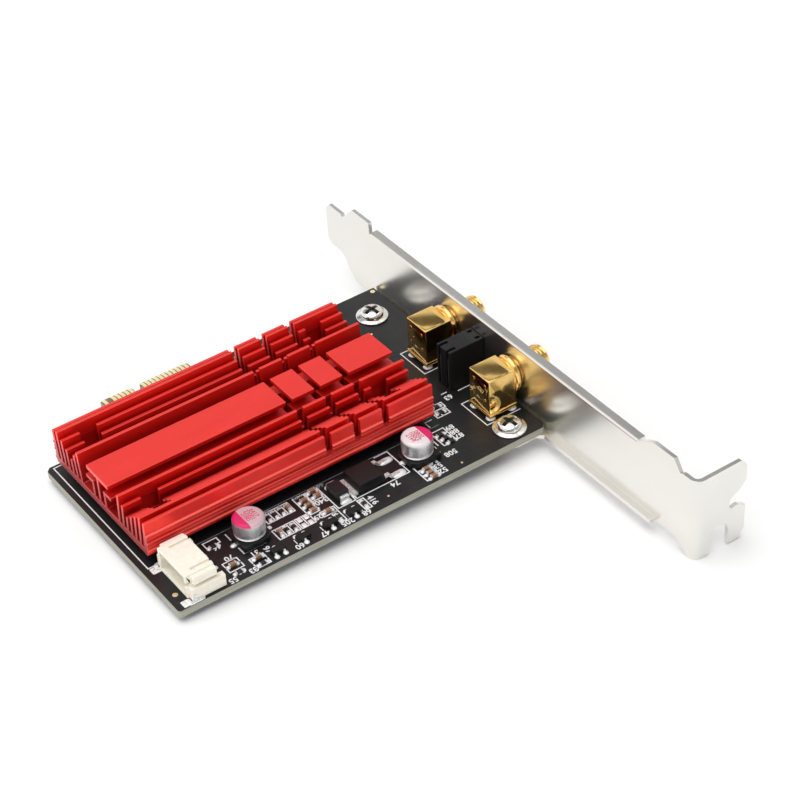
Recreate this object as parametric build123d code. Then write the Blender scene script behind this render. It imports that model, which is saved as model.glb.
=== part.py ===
from build123d import *
import math
import os

os.makedirs("parts", exist_ok=True)

# A one-lane expansion card for wireless networking, lying component side up. Millimetres.
# Working frame: X runs from the free end of the board to the bracket, Y from the front edge to the
# edge connector, Z up from the component face. Everything is shifted to the box's bottom centre at the end.

# Board
board_length = 84.1
board_depth = 50.5
board_depth_bracket_end = 59.3
board_thickness = 1.6
board_corner = 0.8
step_x = 44.0
tongue_reach = 12.35
key_x = 27.1
key_width = 1.9
key_depth = 7.65
long_section = 11.25
short_section = 7.25
tip_corner = 0.5
bevel_length = 1.3
bevel_depth = 0.45

# Edge contacts
contact_pitch = 1.0
contact_width = 0.7
contact_length = 5.6
contact_short = 3.2
contact_thickness = 0.05
first_contact = 1.5
long_count = 11
short_count = 7

# Bracket
sheet = 0.86
bracket_gap = 0.4
bracket_length = 120.02
bracket_width = 18.42
tab_depth = 11.43
tab_bottom = -5.2
tab_top = 13.9
tab_bend = 1.04
fold_bend = 0.1
fold_edge = 0.5
strip_top = 13.45
strip_width = 2.1
strip_from_tab = 16.7
strip_from_tip = 16.62
lip_width = 2.26
lip_from_tab = 11.0
lip_short = 1.3
tongue_end = 76.72
tongue_low = 2.6
tongue_high = 12.75
tongue_corner = 1.32
shoulder_low = ((10.1, 0), (7.8, 2.16), (6.5, 4.2), (4.5, 5.06))
shoulder_high = ((5.8, 3.21), (6.4, 3.8), (10.3, 0))
rise_length = (2.7, 4.8, 10.4)
rise_drop = 0.96
dip_from_tab = (4.6, 3.8)
dip_depth = 0.4
heel_from_tab = (2.4, 5.3)
foot_half = 3.4
foot_gusset = 1.2
foot_overlap = 0.4
notch_width = 4.42
notch_from_plate = 5.19
notch_top = 0.65
end_slot = ((-1, 7.4), (0.2, 7.7), (1.8, 8.7), (3.4, 8.5), (3.9, 9.1), (3.9, 10.6), (3.4, 11.2),
            (1.6, 12.1), (0.25, 13.6), (-1, 13.9))
top_corner = (1.5, 1.6)
low_corner = (1.3, 2.0)
cut_over = 1.0

# Bracket screws
screw_inset = 6.03
screw_y = (3.93, 51.08)
screw_shank = 1.45
screw_hole_clearance = 0.15
screw_head = 2.55
screw_head_height = 1.7
screw_head_slope = (0.75, 0.95)
washer_radius = 3.46
washer_thickness = 0.7
screw_tail = 1.2

# Heatsink
sink_x = 2.25
sink_length = 65.05
sink_y = 31.75
sink_half = 17.9
sink_gap = 1.87
sink_base = 1.53
fin_thickness = 0.7
fin_first = 7.1
fin_pitch = 1.58
fin_lean = 0.1
fin_tops = (10.2, 8.65, 6.8, 8.1, 9.25, 10.35)
wall_top = 9.85
wall_inner = 16.2
wall_face = 17.5
rib_heights = (6.75, 5.9, 5.05, 4.0)
rib_reaches = (17.9, 17.7, 17.9, 17.7)
rib_root = 17.35
rib_half = 0.4
rib_flat = 0.18
base_bevel = (0.7, 0.9)
base_lip = 0.1
section_overlap = 0.3
plate_top = 9.9
plate_thickness = 0.9
plate_half = 4.05
hook_web = 2.15
hook_top = 7.3
hook_reach = 4.7
slot_from_end = (25.22, 18.6, 11.95)
slot_width = 1.48
slot_floor = 5.25
pocket_from_start = 5.95
pocket_from_end = 7.0
pocket_length = 3.8
pocket_inner = 8.25
pocket_outer = 14.6
post_offset = 11.6

# Heatsink fixings
post_shank = 0.95
post_clearance = 0.2
post_depth = 1.1
nut_radius = 2.2
nut_height = 1.5
nut_clearance = 0.03
post_tail = 0.5

# Radio chip and pad
chip_side = 12.0
chip_height = 0.95
pad_side = 13.0

# Antenna jacks
jack_y = (32.4, 11.3)
jack_inset = 1.2
jack_side = 6.5
jack_axis = 6.5
jack_top = 9.75
jack_foot_top = 1.45
jack_foot_bottom = 0.7
jack_foot_margin = 0.15
leg_offset = 2.55
leg_side = 1.0
leg_tail = 0.9
leg_clearance = 0.05
neck_half = 2.5
ring_radius = 4.0
ring_thickness = 0.85
barrel_root = 2.95
thread_radius = 3.175
barrel_reach = 6.69
barrel_clearance = 0.1
thread_clearance = 0.03
bore_radius = 2.3
bore_depth = 5.0
socket_depth = 0.5
pin_radius = 0.45
nut_flats = 8.0
nut_thick = 2.0
lock_outer = 4.2
lock_thick = 0.5

# Indicator lamps
lamp_y = 22.6
lamp_width = 4.4
lamp_inset = 8.1
lamp_gap = 0.1
lamp_top = 9.5
lamp_heights = (2.6, 6.9)
lens_radius = 1.5
lens_reach = 1.3
lens_tail = 2.0
window_clearance = 0.1
lamp_lead_offset = 1.27
lamp_lead_inset = (2.99, 0.45)
lead_half = 0.22
lead_tail = 1.0
lead_channel = 0.35
lamp_slot = (2.1, 0.7, 0.6)
lamp_slot_gap = 0.3

# Electrolytic capacitors
can_places = ((20.95, 8.95), (59.0, 8.2))
can_radius = 3.15
can_height = 5.4
can_round = 0.7
can_bottom = 1.35
can_base = 6.6
can_foot = 0.15
can_crimp = 0.75
can_crimp_depth = 0.22
can_base_corner = 1.3
foot_width = 0.9
foot_reach = 3.95
foot_start = 1.0

# Power transistor
power_at = (46.7, 8.75)
power_body = (6.2, 5.5, 2.3)
power_tab = 1.05
power_tab_edge = 0.2
power_tab_thin = 0.15
power_tab_thick = 0.55
power_tab_short = 1.2
power_draft = (1.1, 0.25)
power_lead_y = 2.29
power_lead = 0.8
power_lead_reach = 3.6
power_lead_line = ((0, 0.8), (0, 1.3), (1.1, 1.3), (1.8, 0.5), (1.5, 0), (0.8, 0.8))
power_lead_thick = 0.5

# Diode
diode_at = (40.55, 8.7)
diode_body = (2.6, 4.3, 2.1)
diode_lead = 1.45
diode_reach = 0.55
diode_rise = 1.25
diode_wrap = 0.9
diode_foot = 0.2
diode_draft = (1.1, 0.3)

# Small transistors, at each place the side the single lead points to
small_places = ((22.9, 2.45, 1), (28.5, 2.45, -1), (34.6, 2.45, -1), (39.9, 2.5, -1))
small_body = (2.9, 1.3, 1.05)
small_foot = 0.1
small_lead = 0.4
small_reach = 0.62
small_gull = ((0, 0.4), (0, 0.6), (0.2, 0.6), (0.35, 0.15), (0.2, 0), (0.08, 0.4))
small_gull_thick = 0.15
small_pitch = 0.95

# Chip parts: centre, and the axis the part lies along
chip_length = 1.6
chip_width = 0.8
chip_end = 0.3
resistor_height = 0.45
capacitor_height = 0.75
resistor_places = ((26.4, 11.2, "y"), (27.9, 11.2, "y"), (29.4, 11.2, "y"), (27.35, 6.25, "y"),
                   (28.85, 6.1, "y"), (36.95, 3.15, "y"), (42.9, 3.25, "y"), (18.9, 1.35, "x"),
                   (14.2, 2.1, "x"), (14.0, 11.0, "x"), (66.1, 10.6, "x"), (66.4, 9.2, "x"),
                   (66.8, 7.75, "x"), (70.3, 16.2, "x"), (70.6, 18.1, "x"))
capacitor_places = ((30.9, 11.2, "y"), (25.9, 6.4, "y"), (34.3, 11.05, "x"), (34.3, 9.45, "x"),
                    (34.3, 7.7, "x"), (37.0, 12.35, "x"), (37.2, 10.75, "x"), (36.3, 5.75, "x"),
                    (19.0, 3.25, "x"), (14.2, 4.4, "x"), (57.9, 3.9, "x"), (57.9, 2.6, "x"),
                    (57.9, 1.3, "x"))

# Cable header
header_x = (3.0, 9.15)
header_y = (1.95, 11.85)
header_top = 5.5
header_floor = 0.12
header_wall = 0.7
header_back_wall = 1.2
header_groove = (0.6, 0.55)
header_groove_inset = 1.3
groove_start = 2.0
header_ledge = 1.35
header_ledge_start = 0.4
header_ledge_top = 2.85
header_slot = (1.0, 0.9)
rib_start = 1.1
rib_reach = 1.0
rib_z = (3.4, 5.13)
ear_reach = 1.47
ear_width = 1.3
ear_overlap = 1.0
header_pins = 4
header_pitch = 2.0
header_pin_half = 0.25
header_pin_z = 2.75
header_tail = 2.1
pin_inset = 1.4
pin_bend = (0.4, 0.9)
anchor_thickness = 0.3
anchor_length = 2.95
anchor_out = 0.2
anchor_height = 0.45
anchor_post = (0.7, 1.2, 1.7)

# Derived places
plate_in = board_length + bracket_gap
plate_out = plate_in + sheet
seat_z = -board_thickness
bracket_bottom = seat_z - sheet
bracket_top = bracket_bottom + bracket_width
tab_y = tongue_end - bracket_length
tab_end = plate_out + tab_depth
tab_round = tab_bend + sheet
fold_root = fold_bend + sheet
fold_round = min(fold_edge, fold_root)
sink_floor = sink_gap + sink_base
tip_y = board_depth + tongue_reach
strip_y = (tab_y + strip_from_tab, tongue_end - strip_from_tip)
lip_y = (tab_y + lip_from_tab, board_depth_bracket_end - lip_short)
screw_x = board_length - screw_inset
sink_end = sink_x + sink_length
pocket_x = (sink_x + pocket_from_start, sink_end - pocket_from_end)
jack_front = board_length - jack_inset
jack_back = jack_front - jack_side
jack_x = jack_back + jack_side / 2
lamp_back = board_length - lamp_inset
lamp_lead_x = [lamp_back + inset for inset in lamp_lead_inset]
lamp_lead_y = (lamp_y - lamp_lead_offset, lamp_y + lamp_lead_offset)
barrel_end = plate_out + barrel_reach
post_y = (sink_y - post_offset, sink_y + post_offset)
notch_x = plate_out + notch_from_plate
notch_z = notch_top - notch_width / 2
shift = Location((-tab_end / 2, -(tab_y + tongue_end) / 2, -tab_bottom))


def box(x, y, z):
    """A block between the given pairs of limits."""
    size = Box(x[1] - x[0], y[1] - y[0], z[1] - z[0])
    return Pos((x[0] + x[1]) / 2, (y[0] + y[1]) / 2, (z[0] + z[1]) / 2) * size


def post(x, y, half, z):
    """A square bar standing along Z."""
    return box((x - half, x + half), (y - half, y + half), z)


def rod_z(x, y, radius, z):
    """A round bar standing along Z."""
    return Pos(x, y, (z[0] + z[1]) / 2) * Cylinder(radius, z[1] - z[0])


def rod_x(y, z, radius, x):
    """A round bar lying along X."""
    return Pos((x[0] + x[1]) / 2, y, z) * Rot(0, 90, 0) * Cylinder(radius, x[1] - x[0])


def prism(points, direction, length):
    """A straight prism over a closed polygon of points in space."""
    outline = make_face(Polyline(*points, close=True))
    return extrude(outline, amount=length, dir=direction)


def prism_x(points, x):
    return prism([(x[0], y, z) for y, z in points], (1, 0, 0), x[1] - x[0])


def prism_y(points, y):
    return prism([(px, y[0], pz) for px, pz in points], (0, 1, 0), y[1] - y[0])


def prism_z(points, z):
    return prism([(px, py, z[0]) for px, py in points], (0, 0, 1), z[1] - z[0])


def fold(place, inner, outer, reach, direction, length):
    """A folded sheet edge: the corner, rounded inside and out, and the flat beyond it, swept along the fold
    line. place(a, b) gives the point a along the flange and b along the plate from the outer corner."""
    root = inner + sheet
    half = math.sqrt(0.5)
    near = place(0, root)
    start = place(0, outer)
    top = place(outer, 0)
    far = place(reach, 0)
    far_under = place(reach, sheet)
    under = place(root, sheet)
    back = place(sheet, root)
    edges = [ThreePointArc(start, place(outer - outer * half, outer - outer * half), top),
             Line(top, far), Line(far, far_under), Line(far_under, under),
             ThreePointArc(under, place(root - inner * half, root - inner * half), back),
             Line(back, near)]
    if outer < root:
        edges.append(Line(near, start))
    return extrude(make_face(edges), amount=length, dir=direction)


def save(node, shapes):
    """Writes one node: a single solid, or a group of equal solids."""
    group = shapes if isinstance(shapes, list) else [shapes]
    solids = [shift * solid for shape in group for solid in shape.solids()]
    export_step(solids[0] if len(solids) == 1 else Compound(children=solids), f"parts/{node}.step")


# Board: outline with the stepped back edge, the keyed and bevelled connector tongue and all its holes
tongue_left = key_x - key_width / 2 - short_section
tongue_right = key_x + key_width / 2 + long_section
key_left = key_x - key_width / 2
key_right = key_x + key_width / 2
key_floor = tip_y - key_depth + key_width / 2
corner_y = tip_y - tip_corner
outline = [(0, board_corner / 2), (board_corner / 2, 0), (board_length - board_corner, 0),
           (board_length, board_corner), (board_length, board_depth_bracket_end),
           (step_x, board_depth_bracket_end), (step_x, board_depth), (tongue_right, board_depth),
           (tongue_right, corner_y), (tongue_right - tip_corner, tip_y), (key_right + tip_corner, tip_y),
           (key_right, corner_y), (key_right, key_floor), (key_left, key_floor), (key_left, corner_y),
           (key_left - tip_corner, tip_y), (tongue_left + tip_corner, tip_y), (tongue_left, corner_y),
           (tongue_left, board_depth), (board_corner, board_depth), (0, board_depth - board_corner)]
board = prism_z(outline, (-board_thickness, 0))
board -= rod_z(key_x, key_floor, key_width / 2, (-board_thickness, 0))
bevel_start = tip_y - bevel_length
for face, inward in ((0, -bevel_depth), (-board_thickness, bevel_depth)):
    wedge = [(bevel_start, face), (tip_y, face), (tip_y, face + inward)]
    board -= prism_x(wedge, (tongue_left, tongue_right))
for y in screw_y:
    board -= rod_z(screw_x, y, screw_shank + screw_hole_clearance, (-board_thickness, 0))
for x in pocket_x:
    for y in post_y:
        board -= rod_z(x, y, post_shank + post_clearance, (-board_thickness, 0))
for y in jack_y:
    for dx in (-leg_offset, leg_offset):
        for dy in (-leg_offset, leg_offset):
            board -= post(jack_x + dx, y + dy, leg_side / 2 + leg_clearance, (-board_thickness, 0))
    board -= post(jack_x, y, pin_radius + leg_clearance, (-board_thickness, 0))
for x in lamp_lead_x:
    for y in lamp_lead_y:
        board -= post(x, y, lead_half + leg_clearance, (-board_thickness, 0))
save("pcb", board)

# Edge contacts: one row on each face, the second from the free end short above, the last short below
contact_x = [key_x + first_contact + i * contact_pitch for i in range(long_count)]
contact_x += [key_x - first_contact - i * contact_pitch for i in range(short_count)]
contact_end = tip_y - bevel_length
contacts = []
for i, x in enumerate(contact_x):
    side = (x - contact_width / 2, x + contact_width / 2)
    start = contact_end - contact_length
    top_start = start
    top_end = contact_end - (contact_length - contact_short if i == long_count + short_count - 2 else 0)
    low_end = contact_end - (contact_length - contact_short if i == long_count - 1 else 0)
    contacts.append(box(side, (top_start, top_end), (0, contact_thickness)))
    contacts.append(box(side, (start, low_end), (-board_thickness - contact_thickness, -board_thickness)))
save("edge_contacts", contacts)

# Bracket: a folded steel sheet, with the long edges folded opposite ways and the screw end bent out
bend_y = tab_y + tab_round
strip_start = strip_top - fold_root
lip_start = bracket_bottom + fold_root
plate_outline = [(bend_y, tab_bottom), (tab_y + heel_from_tab[0], tab_bottom),
                 (tab_y + heel_from_tab[1], bracket_bottom), (lip_y[0], bracket_bottom),
                 (lip_y[0], lip_start), (lip_y[1], lip_start), (lip_y[1], bracket_bottom)]
plate_outline += [(tongue_end - y, bracket_bottom + z) for y, z in shoulder_low]
plate_outline += [(tongue_end - tongue_corner, tongue_low), (tongue_end, tongue_low + tongue_corner),
                  (tongue_end, tongue_high - tongue_corner), (tongue_end - tongue_corner, tongue_high)]
plate_outline += [(tongue_end - y, bracket_top - z) for y, z in shoulder_high]
plate_outline += [(strip_y[1], bracket_top), (strip_y[1], strip_start), (strip_y[0], strip_start),
                  (strip_y[0], strip_top), (strip_y[0] - rise_length[0], bracket_top - rise_drop),
                  (strip_y[0] - rise_length[1], bracket_top), (strip_y[0] - rise_length[2], bracket_top),
                  (tab_y + dip_from_tab[0], tab_top - dip_depth), (tab_y + dip_from_tab[1], tab_top),
                  (bend_y, tab_top)]
bracket = prism_x(plate_outline, (plate_in, plate_out))
bracket += fold(lambda a, b: (plate_in + a, strip_y[0], strip_top - b), fold_bend, fold_round,
                strip_width, (0, 1, 0), strip_y[1] - strip_y[0])
bracket += fold(lambda a, b: (plate_out - a, lip_y[0], bracket_bottom + b), fold_bend, fold_round,
                lip_width, (0, 1, 0), lip_y[1] - lip_y[0])
bracket += fold(lambda a, b: (plate_in + a, tab_y + b, tab_bottom), tab_bend, tab_round,
                tab_end - plate_in, (0, 0, 1), tab_top - tab_bottom)
lip_edge = plate_out - lip_width
foot_z = (bracket_bottom, seat_z)
for y in screw_y:
    wide = foot_half + foot_gusset
    root = [(lip_edge + foot_overlap, y - wide), (lip_edge, y - wide),
            (lip_edge - foot_gusset, y - foot_half), (screw_x, y - foot_half), (screw_x, y + foot_half),
            (lip_edge - foot_gusset, y + foot_half), (lip_edge, y + wide), (lip_edge + foot_overlap, y + wide)]
    bracket += prism_z(root, foot_z)
    bracket += rod_z(screw_x, y, foot_half, foot_z)
    bracket -= rod_z(screw_x, y, screw_shank, foot_z)
for y in jack_y:
    bracket -= rod_x(y, jack_axis, thread_radius + barrel_clearance, (plate_in, plate_out))
for z in lamp_heights:
    bracket -= rod_x(lamp_y, z, lens_radius + window_clearance, (plate_in, plate_out))
tab_y_range = (tab_y - cut_over, tab_y + sheet + cut_over)
half_notch = notch_width / 2
notch_sides = (notch_x - half_notch, notch_x + half_notch)
bracket -= box(notch_sides, tab_y_range, (tab_bottom - cut_over, notch_z))
round_end = Rot(90, 0, 0) * Cylinder(half_notch, sheet + 2 * cut_over)
bracket -= Pos(notch_x, tab_y + sheet / 2, notch_z) * round_end
bracket -= prism_y([(tab_end - x, tab_bottom + z) for x, z in end_slot], tab_y_range)
bracket -= prism_y([(tab_end - top_corner[0], tab_top), (tab_end, tab_top),
                    (tab_end, tab_top - top_corner[1])], tab_y_range)
bracket -= prism_y([(tab_end - low_corner[0], tab_bottom), (tab_end, tab_bottom),
                    (tab_end, tab_bottom + low_corner[1])], tab_y_range)
save("bracket", bracket)

# Bracket screws and their washers: pan heads on flat washers, threaded into the bracket's feet
washers = []
screws = []
for y in screw_y:
    ring = rod_z(screw_x, y, washer_radius, (0, washer_thickness))
    washers.append(ring - rod_z(screw_x, y, screw_shank + screw_hole_clearance, (0, washer_thickness)))
    head = rod_z(screw_x, y, screw_head, (washer_thickness, washer_thickness + screw_head_height))
    head = chamfer(head.edges().sort_by(Axis.Z)[-1], *screw_head_slope)
    screws.append(head + rod_z(screw_x, y, screw_shank, (bracket_bottom - screw_tail, washer_thickness)))
save("bracket_washers", washers)
save("bracket_screws", screws)


# Heatsink: one extruded section with leaning fins, a flat top rail over two hooks and ribbed outer walls,
# then sawn across three times, milled at four places and drilled from below for the fixing studs
def fin_shape(side, foot, top):
    """One fin of the section, leaning outwards on the given side of the centre line."""
    lean = fin_lean * (top - sink_floor)
    half = fin_thickness / 2
    below = sink_floor - sink_base / 2
    points = [(foot - half, below), (foot + half, below), (foot + lean + half, top),
              (foot + lean - half, top)]
    return [(sink_y + side * y, z) for y, z in points]


def wall_shape(side):
    """The outer wall with its ribs and the bevelled foot of the base."""
    inner_top = wall_inner + fin_lean * (wall_top - sink_floor)
    points = [(wall_inner, sink_gap), (wall_inner, sink_floor), (inner_top, wall_top), (wall_face, wall_top)]
    for z, reach in zip(rib_heights, rib_reaches):
        above = wall_face if z == rib_heights[0] else rib_root
        points += [(above, z + rib_half), (reach, z + rib_flat), (reach, z - rib_flat),
                   (rib_root, z - rib_half)]
    points += [(sink_half, sink_floor - base_lip), (sink_half, sink_gap + base_bevel[1]),
               (sink_half - base_bevel[0], sink_gap)]
    return [(sink_y + side * y, z) for y, z in points]


base_half = wall_inner + section_overlap
sections = [[(sink_y - base_half, sink_gap), (sink_y + base_half, sink_gap), (sink_y + base_half, sink_floor),
             (sink_y - base_half, sink_floor)]]
plate_low = plate_top - plate_thickness
half_fin = fin_thickness / 2
sections.append([(sink_y - plate_half, plate_low), (sink_y + plate_half, plate_low),
                 (sink_y + plate_half, plate_top), (sink_y - plate_half, plate_top)])
sections.append([(sink_y - half_fin, sink_gap), (sink_y + half_fin, sink_gap),
                 (sink_y + half_fin, plate_top), (sink_y - half_fin, plate_top)])
for side in (-1, 1):
    for i, top in enumerate(fin_tops):
        sections.append(fin_shape(side, fin_first + i * fin_pitch, top))
    sections.append(wall_shape(side))
    hook = [(hook_web - half_fin, sink_gap), (hook_web - half_fin, hook_top), (hook_reach, hook_top),
            (hook_reach, hook_top - fin_thickness), (hook_web + half_fin, hook_top - fin_thickness),
            (hook_web + half_fin, sink_gap)]
    sections.append([(sink_y + side * y, z) for y, z in hook])
bars = [prism_x(points, (sink_x, sink_end)) for points in sections]
heatsink = bars[0].fuse(*bars[1:])
saw_y = (sink_y - sink_half - cut_over, sink_y + sink_half + cut_over)
above = max(fin_tops) + cut_over
for back in slot_from_end:
    heatsink -= box((sink_end - back, sink_end - back + slot_width), saw_y, (slot_floor, above))
for x in pocket_x:
    reach = (x - pocket_length / 2, x + pocket_length / 2)
    heatsink -= box(reach, (sink_y + pocket_inner, sink_y + pocket_outer), (sink_floor, above))
    heatsink -= box(reach, (sink_y - pocket_outer, sink_y - pocket_inner), (sink_floor, above))
    for y in post_y:
        heatsink -= rod_z(x, y, post_shank, (sink_gap, sink_gap + post_depth))
save("heatsink", heatsink)

# Heatsink fixings: headless screws in blind holes of the base, each with a nut below the board
posts = []
nuts = []
nut_top = -board_thickness
for x in pocket_x:
    for y in post_y:
        tail = nut_top - nut_height - post_tail
        posts.append(rod_z(x, y, post_shank, (tail, sink_gap + post_depth)))
        hexagon = Pos(x, y, nut_top - nut_height) * extrude(RegularPolygon(nut_radius, 6), nut_height)
        nuts.append(hexagon - rod_z(x, y, post_shank + nut_clearance, (nut_top - nut_height, nut_top)))
save("heatsink_screws", posts)
save("heatsink_nuts", nuts)

# Radio chip and the soft pad that carries its heat into the base
sink_mid = sink_x + sink_length / 2
chip_x = (sink_mid - chip_side / 2, sink_mid + chip_side / 2)
chip_y = (sink_y - chip_side / 2, sink_y + chip_side / 2)
save("radio_chip", box(chip_x, chip_y, (0, chip_height)))
grow = (pad_side - chip_side) / 2
save("thermal_pad", box((chip_x[0] - grow, chip_x[1] + grow), (chip_y[0] - grow, chip_y[1] + grow),
                        (chip_height, sink_gap)))

# Antenna jacks: a block on legs with a threaded barrel through the bracket, nut and lock washer outside
for number, y in enumerate(jack_y, start=1):
    half = jack_side / 2
    body = box((jack_back, jack_front), (y - half, y + half), (jack_foot_top, jack_top))
    foot = half + jack_foot_margin
    body += box((jack_x - foot, jack_x + foot), (y - foot, y + foot), (jack_foot_bottom, jack_foot_top))
    for dx in (-leg_offset, leg_offset):
        for dy in (-leg_offset, leg_offset):
            body += post(jack_x + dx, y + dy, leg_side / 2, (-board_thickness - leg_tail, jack_foot_bottom))
    neck = (jack_axis - neck_half, jack_axis + neck_half)
    body += box((jack_front, plate_in), (y - neck_half, y + neck_half), neck)
    body += rod_x(y, jack_axis, ring_radius, (plate_in - ring_thickness, plate_in))
    seat = (plate_out + lock_thick, plate_out + lock_thick + nut_thick)
    body += rod_x(y, jack_axis, barrel_root, (plate_in, seat[1]))
    body += rod_x(y, jack_axis, thread_radius, (seat[1], barrel_end))
    body -= rod_x(y, jack_axis, bore_radius, (barrel_end - bore_depth, barrel_end))
    channel = pin_radius + leg_clearance
    body -= box((jack_x - channel, barrel_end - bore_depth), (y - channel, y + channel),
                (jack_axis - channel, jack_axis + channel))
    body -= post(jack_x, y, channel, (jack_foot_bottom, jack_axis))
    save(f"antenna_jack_{number}_body", body)
    fill = (barrel_end - bore_depth, barrel_end - socket_depth)
    insulator = rod_x(y, jack_axis, bore_radius, fill) - rod_x(y, jack_axis, pin_radius, fill)
    save(f"antenna_jack_{number}_insulator", insulator)
    pin = rod_x(y, jack_axis, pin_radius, (jack_x - pin_radius, barrel_end - socket_depth / 2))
    pin += post(jack_x, y, pin_radius, (-board_thickness - leg_tail, jack_axis))
    save(f"antenna_jack_{number}_pin", pin)
    lock = (plate_out, plate_out + lock_thick)
    clear = barrel_root + thread_clearance
    washer = rod_x(y, jack_axis, lock_outer, lock) - rod_x(y, jack_axis, clear, lock)
    save(f"antenna_jack_{number}_lock_washer", washer)
    flat = extrude(RegularPolygon(nut_flats / math.sqrt(3), 6), nut_thick)
    nut = Pos(seat[0], y, jack_axis) * Rot(0, 90, 0) * flat
    save(f"antenna_jack_{number}_nut", nut - rod_x(y, jack_axis, clear, seat))

# Indicator lamps: a black holder on the board, two lenses looking out through the bracket, four bent leads
lamp_sides = (lamp_y - lamp_width / 2, lamp_y + lamp_width / 2)
lamp_front = plate_in - lamp_gap
lens_back = lamp_front - lens_tail
holder = box((lamp_back, lamp_front), lamp_sides, (0, lamp_top))
leads = []
lenses = []
for x, z in zip(lamp_lead_x, lamp_heights):
    lenses.append(rod_x(lamp_y, z, lens_radius, (lens_back, plate_out + lens_reach)))
    holder -= rod_x(lamp_y, z, lens_radius, (lens_back, lamp_front))
    for y in lamp_lead_y:
        sides = (y - lead_half, y + lead_half)
        lead = post(x, y, lead_half, (-board_thickness - lead_tail, z + lead_half))
        lead += box((x, lens_back), sides, (z - lead_half, z + lead_half))
        leads.append(lead)
        holder -= lead
slot_end = lamp_front - lamp_slot_gap
slot_x = ((lamp_back, lamp_back + lamp_slot[0]), (slot_end - lamp_slot[0] / 2, slot_end))
for y in lamp_lead_y:
    holder -= box((lamp_back, lamp_lead_x[1]), (y - lead_channel, y + lead_channel), (0, lamp_top))
    for reach in slot_x:
        wide = (y - lamp_slot[1] / 2, y + lamp_slot[1] / 2)
        holder -= box(reach, wide, (lamp_top - lamp_slot[2], lamp_top))
save("lamp_holder", holder)
save("lamp_lenses", lenses)
save("lamp_leads", leads)

# Electrolytic capacitors: a crimped can on a plastic base with two flat feet
for number, (x, y) in enumerate(can_places, start=1):
    outline = [(0, 0, can_bottom), (can_radius - can_crimp_depth, 0, can_bottom),
               (can_radius, 0, can_bottom + can_crimp), (can_radius, 0, can_height - can_round),
               (can_radius - can_round, 0, can_height), (0, 0, can_height)]
    can = Pos(x, y, 0) * revolve(make_face(Polyline(*outline, close=True)), axis=Axis.Z)
    save(f"capacitor_{number}_can", can)
    turn = 1 if number == 1 else -1
    reach = can_base / 2
    cut = can_base_corner
    corners = [(-reach, -reach), (reach - cut, -reach), (reach, -reach + cut), (reach, reach - cut),
               (reach - cut, reach), (-reach, reach)]
    base = prism_z([(x + turn * px, y + turn * py) for px, py in corners], (can_foot, can_bottom))
    save(f"capacitor_{number}_base", base)
    feet = [box((x + a, x + b), (y - foot_width / 2, y + foot_width / 2), (0, can_foot))
            for a, b in ((-foot_reach, -foot_start), (foot_start, foot_reach))]
    save(f"capacitor_{number}_feet", feet)

# Power transistor: moulded body over a soldered tab, with two formed leads on the bracket side
px, py = power_at
half_x, half_y, power_height = power_body[0] / 2, power_body[1] / 2, power_body[2]
top_half = half_x - power_draft[1]
moulded = prism_y([(px - half_x, power_tab_thin), (px + half_x, power_tab_thin),
                   (px + half_x, power_draft[0]), (px + top_half, power_height),
                   (px - top_half, power_height), (px - half_x, power_draft[0])], (py - half_y, py + half_y))
save("power_transistor_body", moulded)
tab_half = half_y - power_tab_edge
tab_sides = (py - tab_half, py + tab_half)
tab_start = px - half_x - power_tab
tab = box((tab_start, px + half_x - power_tab_short), tab_sides, (0, power_tab_thin))
tab += box((tab_start, px - half_x), tab_sides, (0, power_tab_thick))
metal = [tab]
formed = list(power_lead_line[:4]) + [(power_lead_reach, power_lead_thick), (power_lead_reach, 0)]
formed += list(power_lead_line[4:])
for dy in (-power_lead_y, power_lead_y):
    sides = (py + dy - power_lead / 2, py + dy + power_lead / 2)
    metal.append(prism_y([(px + half_x + a, b) for a, b in formed], sides))
save("power_transistor_leads", metal)

# Diode: moulded block with a wrapped terminal at each end
dx, dy = diode_at
half_x, half_y, diode_height = diode_body[0] / 2, diode_body[1] / 2, diode_body[2]
shoulder, draft = diode_draft
block = [(-half_y, diode_foot), (half_y, diode_foot), (half_y, shoulder), (half_y - draft, diode_height),
         (draft - half_y, diode_height), (-half_y, shoulder)]
save("diode_body", prism_x([(dy + a, b) for a, b in block], (dx - half_x, dx + half_x)))
wrap = [(half_y, diode_rise), (half_y + diode_reach, diode_rise), (half_y + diode_reach, 0),
        (half_y - diode_wrap, 0), (half_y - diode_wrap, diode_foot), (half_y, diode_foot)]
terminals = []
for side in (-1, 1):
    line = [(dy + side * a, b) for a, b in wrap]
    terminals.append(prism_x(line, (dx - diode_lead / 2, dx + diode_lead / 2)))
save("diode_terminals", terminals)

# Small transistors: three-lead moulded parts along the front edge
bodies = []
gulls = []
for x, y, side in small_places:
    half_x, half_y = small_body[0] / 2, small_body[1] / 2
    bodies.append(box((x - half_x, x + half_x), (y - half_y, y + half_y), (small_foot, small_body[2])))
    formed = list(small_gull[:4]) + [(small_reach, small_gull_thick), (small_reach, 0)] + list(small_gull[4:])
    gull = [(half_y + a, b) for a, b in formed]
    for offset, way in ((0, side), (-small_pitch, -side), (small_pitch, -side)):
        gulls.append(prism_x([(y + way * a, b) for a, b in gull],
                             (x + offset - small_lead / 2, x + offset + small_lead / 2)))
save("small_transistor_bodies", bodies)
save("small_transistor_leads", gulls)


# Chip resistors and capacitors: a block with a plated cap on each end
def chip(place, height):
    """The block and the two end caps of one chip part."""
    x, y, axis = place
    inner = chip_length / 2 - chip_end
    spans = ((-inner, inner), (-chip_length / 2, -inner), (inner, chip_length / 2))
    wide = (-chip_width / 2, chip_width / 2)
    pieces = []
    for along in spans:
        ax, ay = (along, wide) if axis == "x" else (wide, along)
        pieces.append(box((x + ax[0], x + ax[1]), (y + ay[0], y + ay[1]), (0, height)))
    return pieces


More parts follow.
